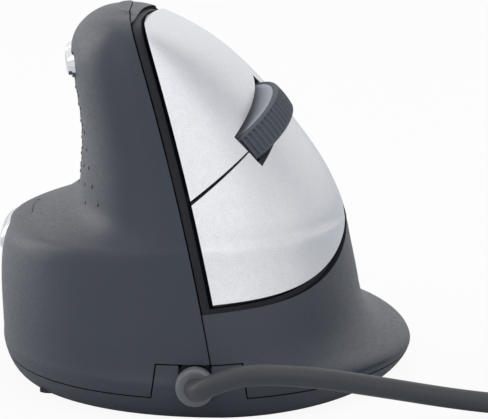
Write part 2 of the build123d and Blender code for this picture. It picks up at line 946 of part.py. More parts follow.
with BuildPart() as wheel_tyre:
    with BuildSketch(axle_plane):
        Circle(wheel_radius)
        Circle(hub_radius, mode=Mode.SUBTRACT)
    extrude(amount=tyre_width / 2, both=True)
    fillet(
        wheel_tyre.edges().filter_by(GeomType.CIRCLE).filter_by(lambda e: e.radius > hub_radius),
        radius=tyre_round,
    )
    with BuildSketch(axle_plane):
        with PolarLocations(wheel_radius, tyre_groove_count):
            Rectangle(2 * tyre_groove_depth, tyre_groove_width)
    extrude(amount=tyre_width / 2 - tyre_rim, both=True, mode=Mode.SUBTRACT)
save(wheel_tyre.part, "wheel_tyre")

with BuildPart() as wheel_hub:
    with BuildSketch(axle_plane):
        Circle(hub_radius)
        Circle(axle_radius, mode=Mode.SUBTRACT)
    extrude(amount=tyre_width / 2 - hub_inset, both=True)
    for side in (-1, 1):
        with BuildSketch(axle_plane.offset(side * (tyre_width / 2 - hub_inset))):
            Circle(hub_radius - hub_rim)
            Circle(hub_boss_radius, mode=Mode.SUBTRACT)
        extrude(amount=-side * hub_dish, mode=Mode.SUBTRACT)
save(wheel_hub.part, "wheel_hub")

with BuildPart() as wheel_axle:
    with BuildSketch(axle_plane.offset(-axle_short_reach)):
        Circle(axle_radius)
    extrude(amount=axle_short_reach + axle_long_reach)
save(wheel_axle.part, "wheel_axle")

cheek_inner = tyre_width / 2 + cheek_gap
cheek_outer = cheek_inner + cheek_thickness
with BuildPart() as wheel_carrier:
    for side in (-1, 1):
        with BuildSketch(axle_plane.offset(side * cheek_inner)):
            with BuildLine():
                Polyline(
                    (-cradle_reach, -cradle_foot),
                    (cradle_reach, -cradle_foot),
                    (cradle_reach, -cradle_foot - cradle_thickness),
                    (cheek_foot, -cradle_foot - cradle_thickness),
                    (cheek_radius, 0),
                    (-cheek_radius, 0),
                    (-cheek_foot, -cradle_foot - cradle_thickness),
                    (-cradle_reach, -cradle_foot - cradle_thickness),
                    close=True,
                )
            make_face()
            Circle(cheek_radius)
        extrude(amount=side * cheek_thickness)
    with BuildSketch(wheel_frame.offset(cradle_foot)):
        for side in (-1, 1):
            with Locations((side * (cradle_reach - ear_length / 2), 0)):
                Rectangle(ear_length, 2 * cheek_outer)
    extrude(amount=cradle_thickness)
    with BuildSketch(wheel_frame.offset(cradle_foot)):
        with Locations((-guide_reach, 0), (guide_reach, 0)):
            Circle(guide_radius + guide_gap)
    extrude(amount=cradle_thickness, mode=Mode.SUBTRACT)
    with BuildSketch(axle_plane):
        Circle(axle_radius + axle_gap)
    extrude(amount=2 * cheek_outer, both=True, mode=Mode.SUBTRACT)
save(wheel_carrier.part, "wheel_carrier")

with BuildPart() as wheel_encoder:
    with BuildSketch(axle_plane.offset(cheek_outer)):
        RectangleRounded(encoder_size, encoder_size, slot_corner / 2)
        Circle(axle_radius + axle_gap, mode=Mode.SUBTRACT)
    extrude(amount=encoder_thickness)
save(wheel_encoder.part, "wheel_encoder")

# Thumb buttons, their board and switches
def button_layer(centre_y, gap, outer, inner):
    # What a widened button outline holds between two depths behind the wall's face.
    with BuildPart() as layer:
        add(button_prism(centre_y, gap))
        add(wall_shift(-outer), mode=Mode.INTERSECT)
        add(wall_shift(-inner), mode=Mode.SUBTRACT)
    return layer.part


def thumb_button(centre_y):
    # One chrome thumb button: cap, flange behind the wall and stem.
    flange_foot = button_flange_depth + button_flange_thickness
    with BuildPart() as button:
        add(button_layer(centre_y, -button_gap, -button_rise, button_flange_depth))
        add(button_layer(centre_y, -button_crown_inset, -button_crown_rise, button_rise))
        add(button_layer(centre_y, button_flange, button_flange_depth, flange_foot))
        with BuildSketch(Plane.YZ.offset(thumb_stem_x)):
            with Locations((centre_y, button_z)):
                Circle(button_stem_radius)
        extrude(amount=-thumb_stem_length)
    return button.part


save(thumb_button(forward_button_y), "forward_button")
save(thumb_button(back_button_y), "back_button")

with BuildPart() as thumb_board:
    with BuildSketch(Plane.YZ.offset(thumb_board_x)):
        with Locations((thumb_board_y, thumb_board_z)):
            RectangleRounded(thumb_board_length, thumb_board_width, board_corner)
        with Locations(*thumb_post_places):
            Circle(screw_radius + fit_gap, mode=Mode.SUBTRACT)
    extrude(amount=thumb_board_thickness)
save(thumb_board.part, "thumb_board")

with BuildPart() as thumb_switches:
    for centre_y in (forward_button_y, back_button_y):
        with BuildSketch(Plane.YZ.offset(thumb_board_x)):
            with Locations((centre_y, button_z)):
                Rectangle(tact_width, tact_width)
        extrude(amount=-thumb_tact_height)
        with BuildSketch(Plane.YZ.offset(thumb_board_x - thumb_tact_height)):
            with Locations((centre_y, button_z)):
                Circle(plunger_radius + plunger_gap)
        extrude(amount=thumb_tact_bore, mode=Mode.SUBTRACT)
save(thumb_switches.part, "thumb_switches")

for centre_y, name in ((forward_button_y, "forward_plunger"), (back_button_y, "back_plunger")):
    top = thumb_stem_x + contact_gap
    save(thumb_post(centre_y, button_z, top, top + thumb_plunger_length, plunger_radius), name)

with BuildPart() as thumb_trim:
    add(trim_prism)
    add(wall_shift(trim_rise), mode=Mode.INTERSECT)
    add(wall_shift(-trim_sink), mode=Mode.SUBTRACT)
save(thumb_trim.part, "thumb_trim")

# Main board and what stands on it
with BuildPart() as main_board:
    with BuildSketch(Plane.XY.offset(board_height)):
        with Locations(floor_point(board_centre_shares)):
            RectangleRounded(board_width, board_length, board_round)
        with Locations(*boss_places[-1], *boss_places[+1]):
            Circle(boss_radius + board_relief, mode=Mode.SUBTRACT)
        with Locations(*board_post_places):
            Circle(screw_radius + fit_gap, mode=Mode.SUBTRACT)
        with Locations(sensor_place):
            Rectangle(aperture_length, aperture_width, mode=Mode.SUBTRACT)
    extrude(amount=board_thickness)
save(main_board.part, "main_board")

with BuildPart() as optical_sensor:
    with BuildSketch(Plane.XY.offset(board_top)):
        with Locations(sensor_place):
            Rectangle(sensor_length, sensor_width)
    extrude(amount=sensor_height)
    chamfer(optical_sensor.faces().sort_by(Axis.Z)[-1].edges(), length=chip_chamfer)
save(optical_sensor.part, "optical_sensor")

with BuildPart() as sensor_lens:
    with BuildSketch(Plane.XY.offset(foot_height + base_floor)):
        with Locations(sensor_place):
            RectangleRounded(lens_length, lens_width, slot_corner)
    extrude(amount=lens_flange)
    with BuildSketch(Plane.XY.offset(foot_height + base_floor + lens_flange)):
        with Locations(sensor_place):
            Circle(lens_radius)
    extrude(amount=board_height - foot_height - base_floor - lens_flange, taper=lens_taper)
save(sensor_lens.part, "sensor_lens")

with BuildPart() as sensor_led:
    led_y = sensor_place[1] + sensor_width / 2 + led_gap
    with BuildSketch(Plane.XZ.offset(-led_y - led_length)):
        with Locations((sensor_place[0], board_top + led_flange_radius)):
            Circle(led_radius)
    extrude(amount=led_length)
    with BuildSketch(Plane.XZ.offset(-led_y - led_length)):
        with Locations((sensor_place[0], board_top + led_flange_radius)):
            Circle(led_flange_radius)
    extrude(amount=led_flange)
    fillet(sensor_led.faces().sort_by(Axis.Y)[0].edges(), radius=led_round)
save(sensor_led.part, "sensor_led")

with BuildPart() as controller_chip:
    with BuildSketch(Plane.XY.offset(board_top)):
        with Locations(floor_point(controller_shares)):
            Rectangle(controller_size, controller_size)
    extrude(amount=controller_height)
    chamfer(controller_chip.faces().sort_by(Axis.Z)[-1].edges(), length=chip_chamfer)
save(controller_chip.part, "controller_chip")

with BuildPart() as small_components:
    with BuildSketch(Plane.XY.offset(board_top)):
        with Locations(*(floor_point(shares) for shares in capacitor_shares)):
            Circle(capacitor_radius)
    extrude(amount=capacitor_height)
    with BuildSketch(Plane.XY.offset(board_top)):
        with Locations(floor_point(crystal_shares)):
            SlotOverall(crystal_length, crystal_width)
    extrude(amount=crystal_height)
save(small_components.part, "small_components")

# Headers on the boards and the ribbon cables between them. The finger ribbon bends in a plane
# square to the level line of the finger plane.
header_top = board_top + header_height
lead_header_y = lead_header_share * half_length
ribbon_foot = Vector(*floor_point(finger_ribbon_shares), header_top)
ribbon_plane = Plane(origin=ribbon_foot, x_dir=finger_plane.y_dir, z_dir=finger_plane.x_dir)
ribbon_start = board_back - header_rise - finger_plane.to_local_coords(ribbon_foot).Z
ribbon_turn = math.degrees(math.atan2(finger_plane.x_dir.Y, finger_plane.x_dir.X))
thumb_ribbon_x, thumb_ribbon_y = floor_point(thumb_ribbon_shares)
thumb_header_x = thumb_board_x + thumb_board_thickness + header_rise / 2
thumb_header_z = button_z - thumb_header_drop

with BuildPart() as board_headers:
    with BuildSketch(Plane.XY.offset(board_top)):
        with Locations((relief_x, lead_header_y)):
            Rectangle(header_length, header_width)
        with Locations((thumb_ribbon_x, thumb_ribbon_y)):
            Rectangle(header_width, header_length)
        with Locations((ribbon_foot.X, ribbon_foot.Y)):
            Rectangle(header_length, header_width, rotation=ribbon_turn)
    extrude(amount=header_height)
save(board_headers.part, "board_headers")

with BuildPart() as finger_header:
    with BuildSketch(ribbon_plane):
        with Locations((finger_ribbon_rise, ribbon_start + header_rise / 2)):
            Rectangle(header_width, header_rise)
    extrude(amount=header_length / 2, both=True)
save(finger_header.part, "finger_header")

with BuildPart() as thumb_header:
    with BuildSketch(Plane.XZ.offset(-thumb_ribbon_y)):
        with Locations((thumb_header_x, thumb_header_z)):
            Rectangle(header_rise, header_width)
    extrude(amount=header_length / 2, both=True)
save(thumb_header.part, "thumb_header")

with BuildPart() as finger_ribbon:
    with BuildSketch(ribbon_plane):
        with BuildLine():
            FilletPolyline(
                (finger_ribbon_rise, ribbon_start),
                (finger_ribbon_rise, ribbon_start - finger_ribbon_drop),
                (0, 0),
                radius=ribbon_bend,
            )
        trace(line_width=ribbon_thickness)
    extrude(amount=ribbon_width / 2, both=True)
    split(bisect_by=Plane.XY.offset(header_top), keep=Keep.TOP)
save(finger_ribbon.part, "finger_ribbon")

with BuildPart() as thumb_ribbon:
    high_bend, low_bend = (height_at(share) for share in thumb_ribbon_bend_shares)
    with BuildSketch(Plane.XZ.offset(-thumb_ribbon_y)):
        with BuildLine():
            FilletPolyline(
                (thumb_header_x, thumb_header_z - header_width / 2),
                (thumb_header_x, high_bend),
                (thumb_ribbon_x, low_bend),
                (thumb_ribbon_x, header_top),
                radius=ribbon_bend,
            )
        trace(line_width=ribbon_thickness)
    extrude(amount=ribbon_width / 2, both=True)
save(thumb_ribbon.part, "thumb_ribbon")

# Strain relief and the lead inside it
front_wall_share = -waterline_shares[deep_first_row][3]
relief_back = front_wall_share * half_length - wall - relief_seat - relief_flange
relief_collar_y = half_length + relief_collar_gap
with BuildPart() as strain_relief:
    with BuildSketch(Plane.XZ.offset(relief_back)):
        with Locations((relief_x, relief_z)):
            Circle(relief_flange_radius)
    extrude(amount=relief_flange)
    with BuildSketch(Plane.XZ.offset(relief_back + relief_flange)):
        with Locations((relief_x, relief_z)):
            Circle(relief_neck_radius)
    extrude(amount=relief_collar_y - relief_back - relief_flange)
    with BuildSketch(Plane.XZ.offset(relief_collar_y)):
        with Locations((relief_x, relief_z)):
            Circle(relief_collar_radius)
    extrude(amount=relief_collar)
    fillet(strain_relief.faces().sort_by(Axis.Y)[0].edges(), radius=relief_round)
save(strain_relief.part, "strain_relief")

with BuildPart() as inner_lead:
    with BuildLine() as lead_line:
        FilletPolyline(
            (relief_x, -relief_back, relief_z),
            (relief_x, -relief_back + lead_step, relief_z),
            (relief_x, lead_header_y - header_width / 2 - lead_step, header_top - lead_drop),
            (relief_x, lead_header_y - header_width / 2, header_top - lead_drop),
            radius=lead_bend,
        )
    with BuildSketch(Plane(origin=lead_line.line @ 0, z_dir=lead_line.line % 0)):
        Circle(lead_radius)
    sweep()
save(inner_lead.part, "inner_lead")


# Cord, coil and plug
def runs_and_radii(points):
    # Each corner's arc is as large as its two runs allow.
    radii = []
    for before, corner, after in zip(points, points[1:], points[2:]):
        arriving, leaving = Vector(*corner) - Vector(*before), Vector(*after) - Vector(*corner)
        turn = math.radians(arriving.get_angle(leaving))
        shorter = min(arriving.length, leaving.length)
        radii.append(arc_run_share * shorter / math.tan(turn / 2))
    return radii


def free_cord(points, name):
    radii = runs_and_radii(points)
    with BuildPart() as tube:
        with BuildLine() as line:
            FilletPolyline(*points, radius=radii)
        with BuildSketch(Plane(origin=points[0], z_dir=line.line % 0)):
            Circle(cord_radius)
        sweep()
    length = sum(edge.length for edge in line.edges())
    share = tube.part.volume / (math.pi * cord_radius**2 * length)
    print(name, "length", round(length, 1), "radii", [round(r, 1) for r in radii])
    print(name, "volume over section times length", round(share, 4))
    save(tube.part, name)
    return length


cord_start = (relief_x, -relief_collar_y - relief_collar, relief_z)
coil_centre = (coil_x, cord_route[-1][1] + coil_outer_radius)
coil_start = (coil_x - 2 * cord_radius, cord_route[-1][1], cord_radius)
cord_length = free_cord([cord_start, *cord_route, coil_start], "cord")


def coil_state(turns):
    # Place and direction on the coil: the radius runs in and out at a steady rate, and the
    # height steps up a layer in the half turn where the radius reverses.
    layer = min(int(turns / layer_turns), coil_layers - 1)
    inward = layer % 2 == 0
    done = turns - layer * layer_turns
    inner_radius = coil_outer_radius - coil_pitch * layer_turns
    radius = coil_outer_radius - coil_pitch * done if inward else inner_radius + coil_pitch * done
    rate = -coil_pitch if inward else coil_pitch
    height, climb = cord_radius + layer * coil_pitch, 0
    for reversal in range(1, coil_layers):
        offset_turns = turns - reversal * layer_turns
        if abs(offset_turns) < climb_half_turns + turn_tolerance:
            height = cord_radius + coil_pitch * (reversal - 1 / 2 + offset_turns / (2 * climb_half_turns))
            at_end = abs(offset_turns) > climb_half_turns - turn_tolerance
            climb = 0 if at_end else coil_pitch / (2 * climb_half_turns)
        if abs(offset_turns) < turn_tolerance:
            rate = 0
    angle = math.tau * (turns - 1 / 4)
    out = Vector(math.cos(angle), math.sin(angle), 0)
    along = Vector(-math.sin(angle), math.cos(angle), 0)
    spot = Vector(*coil_centre, 0) + out * radius + Vector(0, 0, height)
    heading = along * (math.tau * radius) + out * rate + Vector(0, 0, climb)
    return spot, heading.normalized()


def biarc_middle(start, start_heading, end, end_heading):
    # The point where two arcs of equal tangent length meet.
    gap = end - start
    both = start_heading + end_heading
    spread = 2 * (1 - start_heading.dot(end_heading))
    reach = (math.sqrt(gap.dot(both) ** 2 + spread * gap.dot(gap)) - gap.dot(both)) / spread
    return (start + end + (start_heading - end_heading) * reach) * (1 / 2)


stations = [coil_state(quarter / 4) for quarter in range(round(coil_turns * 4) + 1)]
stations[0] = (stations[0][0], Vector(1, 0, 0))
coil_end, coil_end_heading = stations[-1]
stations[-1] = (coil_end, Vector(0, 1, 0))
coil_finish = coil_end + Vector(0, 2 * cord_radius, 0)
with BuildPart() as cord_coil:
    with BuildLine() as coil_line:
        Line(coil_start, stations[0][0])
        for (start, start_heading), (end, end_heading) in zip(stations, stations[1:]):
            middle = biarc_middle(start, start_heading, end, end_heading)
            first = TangentArc(start, middle, tangent=start_heading)
            TangentArc(middle, end, tangent=first % 1)
        Line(coil_end, coil_finish)
    with BuildSketch(Plane(origin=coil_start, z_dir=(1, 0, 0))):
        RegularPolygon(cord_radius, coil_sides)
    sweep()
save(cord_coil.part, "cord_coil")
coil_length = sum(edge.length for edge in coil_line.edges())
coil_points = [coil_line.line @ (step / coil_samples) for step in range(coil_samples + 1)]
apart = max(1, round(coil_samples * coil_near_share))
least = min(
    (coil_points[i] - coil_points[j]).length
    for i in range(coil_samples)
    for j in range(i + apart, coil_samples + 1)
)
print("coil length", round(coil_length, 1), "least gap to itself", round(least - 2 * cord_radius, 2))

tail_start = (coil_finish.X, coil_finish.Y, coil_finish.Z)
tail_end = (cord_tail_route[-1][0], cord_tail_route[-1][1] + tail_last_run, plug_height / 2)
tail_length = free_cord([tail_start, *cord_tail_route, tail_end], "cord_tail")
print("whole cord", round(cord_length + coil_length + tail_length, 1))

plug_x, plug_y = tail_end[0], tail_end[1]
with BuildPart() as usb_overmould:
    with BuildSketch(Plane.XZ.offset(-plug_y - plug_relief_length)):
        with Locations((plug_x, plug_height / 2)):
            Circle(plug_relief_radius)
    extrude(amount=plug_relief_length, taper=plug_taper)
    with BuildSketch(Plane.XZ.offset(-plug_y - plug_relief_length - plug_length)):
        with Locations((plug_x, plug_height / 2)):
            RectangleRounded(plug_width, plug_height, plug_round)
    extrude(amount=plug_length)
save(usb_overmould.part, "usb_overmould")

shell_y = plug_y + plug_relief_length + plug_length
with BuildPart() as usb_shell:
    with BuildSketch(Plane.XZ.offset(-shell_y)):
        with Locations((plug_x, plug_height / 2)):
            RectangleRounded(usb_width, usb_height, usb_round)
            Rectangle(usb_width - 2 * usb_sheet, usb_height - 2 * usb_sheet, mode=Mode.SUBTRACT)
    extrude(amount=-usb_length)
    with BuildSketch(Plane.XY.offset(plug_height / 2)):
        for side in (-1, 1):
            with Locations((plug_x + side * usb_window_reach, shell_y + usb_length / 2)):
                Rectangle(usb_window, usb_window)
    extrude(amount=usb_height, mode=Mode.SUBTRACT)
save(usb_shell.part, "usb_shell")

tongue_low = plug_height / 2 - usb_height / 2 + usb_sheet + fit_gap
with BuildPart() as usb_tongue:
    with BuildSketch(Plane.XY.offset(tongue_low)):
        with Locations((plug_x, shell_y + tongue_length / 2)):
            Rectangle(usb_width - 2 * usb_sheet - 2 * fit_gap, tongue_length)
    extrude(amount=tongue_thickness)
save(usb_tongue.part, "usb_tongue")

with BuildPart() as usb_contacts:
    with BuildSketch(Plane.XY.offset(tongue_low + tongue_thickness)):
        with Locations((plug_x, shell_y + contact_length / 2)):
            with GridLocations(contact_pitch, 0, contact_count, 1):
                Rectangle(contact_width, contact_length)
    extrude(amount=contact_thickness)
save(usb_contacts.part, "usb_contacts")

# Glide feet and screws
with BuildPart() as glide_feet:
    with BuildSketch(Plane.XY):
        with Locations(*(floor_point(shares) for shares in end_glide_shares)):
            RectangleRounded(end_glide_length, glide_width, glide_round)
        with Locations(*(floor_point(shares) for shares in side_glide_shares)):
            RectangleRounded(glide_width, side_glide_length, glide_round)
    extrude(amount=foot_height)
save(glide_feet.part, "glide_feet")

with BuildPart() as base_screws:
    head_top = foot_height + screw_head_height
    with BuildSketch(Plane.XY.offset(head_top)):
        with Locations(*boss_places[-1], *boss_places[+1]):
            Circle(screw_head_radius)
    extrude(amount=-screw_head_height + fit_gap)
    with BuildSketch(Plane.XY.offset(head_top)):
        with Locations(*boss_places[-1], *boss_places[+1]):
            Circle(screw_radius)
    extrude(amount=screw_length - screw_head_height)
save(base_screws.part, "base_screws")

with BuildPart() as board_screws:
    with BuildSketch(Plane.XY.offset(board_top)):
        with Locations(*board_post_places):
            Circle(screw_head_radius)
    extrude(amount=screw_head_height)
    with BuildSketch(Plane.XY.offset(board_top)):
        with Locations(*board_post_places):
            Circle(screw_radius)
    extrude(amount=-board_screw_length)
    with BuildSketch(finger_plane.offset(board_back)):
        with Locations(*board_hanger_places):
            Circle(screw_head_radius)
    extrude(amount=-screw_head_height)
    with BuildSketch(finger_plane.offset(board_back)):
        with Locations(*board_hanger_places):
            Circle(screw_radius)
    extrude(amount=board_screw_length)
    for y, z in thumb_post_places:
        x = thumb_board_x + thumb_board_thickness
        add(thumb_post(y, z, x, x + screw_head_height, screw_head_radius))
        add(thumb_post(y, z, x - board_screw_length, x, screw_radius))
save(board_screws.part, "board_screws")
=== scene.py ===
import json
import math

import bmesh
import bpy
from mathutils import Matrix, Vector
from mathutils.bvhtree import BVHTree


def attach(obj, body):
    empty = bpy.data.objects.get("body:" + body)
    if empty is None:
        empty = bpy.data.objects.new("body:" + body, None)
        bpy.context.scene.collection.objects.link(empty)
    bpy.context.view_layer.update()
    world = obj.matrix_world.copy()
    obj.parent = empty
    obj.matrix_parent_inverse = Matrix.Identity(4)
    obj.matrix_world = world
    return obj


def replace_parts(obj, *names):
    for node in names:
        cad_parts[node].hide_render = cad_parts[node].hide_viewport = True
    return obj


# The looks of the left-handed vertical mouse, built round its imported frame. Lengths are in
# millimetres, which MM turns into Blender's metres, except in the materials and on the stage.
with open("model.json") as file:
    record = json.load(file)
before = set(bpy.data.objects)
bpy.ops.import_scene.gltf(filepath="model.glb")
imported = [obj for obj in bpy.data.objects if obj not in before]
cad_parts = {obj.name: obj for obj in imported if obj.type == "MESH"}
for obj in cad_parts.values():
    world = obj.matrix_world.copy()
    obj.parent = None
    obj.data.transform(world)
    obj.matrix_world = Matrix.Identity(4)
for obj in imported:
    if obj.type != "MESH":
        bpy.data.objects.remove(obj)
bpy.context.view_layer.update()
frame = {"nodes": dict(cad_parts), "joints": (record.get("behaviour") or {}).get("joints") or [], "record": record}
nodes = frame["nodes"]
MM = 0.001

# Camera, at the photograph's angle
PHOTO_SIZE = (488, 419)
CAMERA_ELEVATION = 9.5
CAMERA_DISTANCE = 600 * MM
CAMERA_TARGET = Vector((7.9, 0, 29.7)) * MM
PIXELS_PER_MM = 5.07
SENSOR_WIDTH = 36.0


def camera_ray(pixel):
    # Where the camera stands and the way it looks through a pixel of the photograph.
    tilt = math.radians(CAMERA_ELEVATION)
    ahead = Vector((0, math.cos(tilt), -math.sin(tilt)))
    above = Vector((0, math.sin(tilt), math.cos(tilt)))
    eye = CAMERA_TARGET - ahead * CAMERA_DISTANCE
    right = (pixel[0] - PHOTO_SIZE[0] / 2) * MM / PIXELS_PER_MM
    rise = (PHOTO_SIZE[1] / 2 - pixel[1]) * MM / PIXELS_PER_MM
    aim = ahead * CAMERA_DISTANCE + Vector((right, 0, 0)) + above * rise
    return eye, aim.normalized()


def add_camera():
    data = bpy.data.cameras.new("camera")
    data.sensor_width = SENSOR_WIDTH
    view_width = PHOTO_SIZE[0] * MM / PIXELS_PER_MM
    data.lens = SENSOR_WIDTH * CAMERA_DISTANCE / view_width
    data.clip_start = 0.01
    data.clip_end = 20
    camera = bpy.data.objects.new("camera", data)
    bpy.context.scene.collection.objects.link(camera)
    camera.location = camera_ray((PHOTO_SIZE[0] / 2, PHOTO_SIZE[1] / 2))[0]
    camera.rotation_euler = (math.radians(90 - CAMERA_ELEVATION), 0, 0)
    bpy.context.scene.camera = camera


add_camera()

# Materials, with the size of a grain or flake as a scale per metre and its depth in metres
CLOUD_GRAIN = 60
CLOUD_SPREAD = 0.06
MOULD_GRAIN = 1500
MOULD_DEPTH = 0.00002
MOULD_BUMP = 0.6
ROUGHNESS_SPREAD = 0.08
FINE_GRAIN = 2500
FINER_GRAIN = 2600
FINE_DEPTH = 0.00003
FLAKE_GRAIN = 5200
FLAKE_DEPTH = 0.000012
FLAKE_BUMP = 0.25
PLAIN_SPECULAR = 0.5


def new_material(name):
    material = bpy.data.materials.new(name)
    material.use_nodes = True
    tree = material.node_tree
    return material, tree, tree.nodes["Principled BSDF"]


def add_node(tree, kind, **values):
    # Each value goes to the node's socket of that name, or else to its own setting.
    made = tree.nodes.new(kind)
    for key, value in values.items():
        if key in made.inputs:
            made.inputs[key].default_value = value
        else:
            setattr(made, key, value)
    return made


def own_place(tree):
    # The part's own coordinates, so that a texture keeps its size on every piece.
    return add_node(tree, "ShaderNodeTexCoord").outputs["Object"]


def noise(tree, scale, detail=3.0, stretch=(1, 1, 1)):
    mapping = add_node(tree, "ShaderNodeMapping", Scale=stretch)
    texture = add_node(tree, "ShaderNodeTexNoise", Scale=scale, Detail=detail)
    tree.links.new(own_place(tree), mapping.inputs["Vector"])
    tree.links.new(mapping.outputs["Vector"], texture.inputs["Vector"])
    return texture.outputs["Fac"]


def ramp(tree, factor, stops):
    made = add_node(tree, "ShaderNodeValToRGB")
    while len(made.color_ramp.elements) < len(stops):
        made.color_ramp.elements.new(0.5)
    for element, (position, color) in zip(made.color_ramp.elements, stops):
        element.position = position
        element.color = (*color, 1)
    tree.links.new(factor, made.inputs["Fac"])
    return made.outputs["Color"]


def shade(color, amount):
    return tuple(max(0.0, channel * amount) for channel in color)


def set_color(tree, shader, factor, stops):
    tree.links.new(ramp(tree, factor, stops), shader.inputs["Base Color"])


def set_roughness(tree, shader, factor, stops):
    grey_stops = [(position, (roughness,) * 3) for position, roughness in stops]
    tree.links.new(ramp(tree, factor, grey_stops), shader.inputs["Roughness"])


def set_bump(tree, shader, height, strength, depth):
    bump = add_node(tree, "ShaderNodeBump", Strength=strength, Distance=depth)
    tree.links.new(height, bump.inputs["Height"])
    tree.links.new(bump.outputs["Normal"], shader.inputs["Normal"])


def grained(
    name,
    color,
    roughness,
    grain=MOULD_GRAIN,
    depth=MOULD_DEPTH,
    spread=CLOUD_SPREAD,
    specular=PLAIN_SPECULAR,
):
    # A moulded surface: faint cloudy colour, uneven gloss and a fine grain.
    material, tree, shader = new_material(name)
    shader.inputs["Specular IOR Level"].default_value = specular
    cloud = noise(tree, CLOUD_GRAIN, 4)
    tints = [(0.3, shade(color, 1 - spread)), (0.7, shade(color, 1 + spread))]
    set_color(tree, shader, cloud, tints)
    fine = noise(tree, grain, 2)
    gloss = [(0.25, roughness - ROUGHNESS_SPREAD), (0.75, roughness + ROUGHNESS_SPREAD)]
    set_roughness(tree, shader, fine, gloss)
    set_bump(tree, shader, fine, MOULD_BUMP, depth)
    return material


def flaked(name, color, roughness, metallic):
    # Silver paint: fine bright flakes under a soft satin coat.
    material, tree, shader = new_material(name)
    shader.inputs["Metallic"].default_value = metallic
    shader.inputs["Coat Weight"].default_value = 0.25
    shader.inputs["Coat Roughness"].default_value = 0.22
    cells = add_node(tree, "ShaderNodeTexVoronoi", Scale=FLAKE_GRAIN)
    tree.links.new(own_place(tree), cells.inputs["Vector"])
    flakes = cells.outputs["Distance"]
    set_color(tree, shader, flakes, [(0.0, shade(color, 1.12)), (0.7, shade(color, 0.92))])
    gloss = [(0.3, roughness - 0.05), (0.7, roughness + 0.05)]
    set_roughness(tree, shader, noise(tree, 900, 2), gloss)
    set_bump(tree, shader, flakes, FLAKE_BUMP, FLAKE_DEPTH)
    return material


def polished(name, color, roughness):
    # Plated or ground metal with faint scuffs.
    material, tree, shader = new_material(name)
    shader.inputs["Metallic"].default_value = 1.0
    scuffs = noise(tree, 400, 5, (1, 6, 1))
    set_color(tree, shader, scuffs, [(0.3, shade(color, 0.94)), (0.7, color)])
    set_roughness(tree, shader, scuffs, [(0.35, roughness * 0.7), (0.75, roughness * 1.5)])
    return material


def clear(name):
    material, tree, shader = new_material(name)
    shader.inputs["Transmission Weight"].default_value = 0.9
    shader.inputs["IOR"].default_value = 1.49
    set_roughness(tree, shader, noise(tree, 300), [(0.3, 0.04), (0.7, 0.12)])
    return material


def board(name):
    # Solder mask with tracks that show through it.
    material, tree, shader = new_material(name)
    tracks = add_node(
        tree,
        "ShaderNodeTexBrick",
        Scale=90,
        Color1=(0.01, 0.10, 0.04, 1),
        Color2=(0.015, 0.13, 0.05, 1),
        Mortar=(0.03, 0.22, 0.09, 1),
    )
    tree.links.new(own_place(tree), tracks.inputs["Vector"])
    tree.links.new(tracks.outputs["Color"], shader.inputs["Base Color"])
    set_roughness(tree, shader, noise(tree, 500), [(0.3, 0.25), (0.7, 0.4)])
    return material


BLACK = (0.039, 0.046, 0.062)
SILVER = (0.72, 0.73, 0.758)
RELIEF_GREY = (0.16, 0.165, 0.18)
JACKET_BLACK = (0.045, 0.049, 0.057)
# The frame round the keys is duller than the shell and has hardly any grain
FRAME_BLACK = (0.022, 0.024, 0.030)
FRAME_DEPTH = 0.000006
FRAME_SPECULAR = 0.22
materials = {
    "black_shell": grained("black_shell", BLACK, 0.46),
    "silver_key": flaked("silver_key", SILVER, 0.34, 0.92),
    "dark_frame": grained(
        "dark_frame", FRAME_BLACK, 0.58, depth=FRAME_DEPTH, specular=FRAME_SPECULAR
    ),
    "chrome": polished("chrome", (0.86, 0.87, 0.89), 0.07),
    "rubber": grained("rubber", (0.105, 0.115, 0.136), 0.6, FINE_GRAIN, FINE_DEPTH, 0.1),
    "grey_hub": grained("grey_hub", (0.40, 0.415, 0.45), 0.42),
    "relief_grey": grained("relief_grey", RELIEF_GREY, 0.36, FINER_GRAIN, FINE_DEPTH, 0.08),
    "blackened_steel": polished("blackened_steel", (0.05, 0.05, 0.055), 0.35),
    "natural_plastic": grained("natural_plastic", (0.62, 0.62, 0.58), 0.4),
    "circuit_board": board("circuit_board"),
    "chip_black": grained("chip_black", (0.012, 0.012, 0.014), 0.5, FINE_GRAIN, FINE_DEPTH),
    "clear_lens": clear("clear_lens"),
    "steel": polished("steel", (0.60, 0.60, 0.60), 0.25),
    "cord_jacket": grained("cord_jacket", JACKET_BLACK, 0.5, FINER_GRAIN, FINE_DEPTH, 0.08),
    "glide": grained("glide", (0.012, 0.012, 0.013), 0.3, 900),
    "contact_gold": polished("contact_gold", (0.80, 0.58, 0.26), 0.2),
    "ribbon_grey": grained("ribbon_grey", (0.30, 0.31, 0.33), 0.45),
    # Near-black, darker than the shell: the grip dots' colour is painted shade, standing in for the shade that
    # small dimples hold
    "grip_dot_painted_shade": grained("grip_dot_painted_shade", (0.012, 0.013, 0.016), 0.35),
}
# Pieces whose finish isn't that of their slot
OWN_FINISHES = {"strain_relief": "relief_grey", "base_screws": "blackened_steel"}
for row in frame["record"]["subparts"]:
    mesh = nodes[row["node"]].data
    mesh.materials.clear()
    mesh.materials.append(materials[OWN_FINISHES.get(row["node"], row["material_slot"])])


def skin(mesh, low, high, closed=True):
    # A band of faces between two rows of as many points.
    for index in range(len(low) if closed else len(low) - 1):
        after = (index + 1) % len(low)
        mesh.faces.new((low[index], low[after], high[after], high[index]))


def piece_from(mesh, name):
    data = bpy.data.meshes.new(name)
    mesh.to_mesh(data)
    mesh.free()
    for face in data.polygons:
        face.use_smooth = True
    piece = bpy.data.objects.new(name, data)
    bpy.context.scene.collection.objects.link(piece)
    return piece


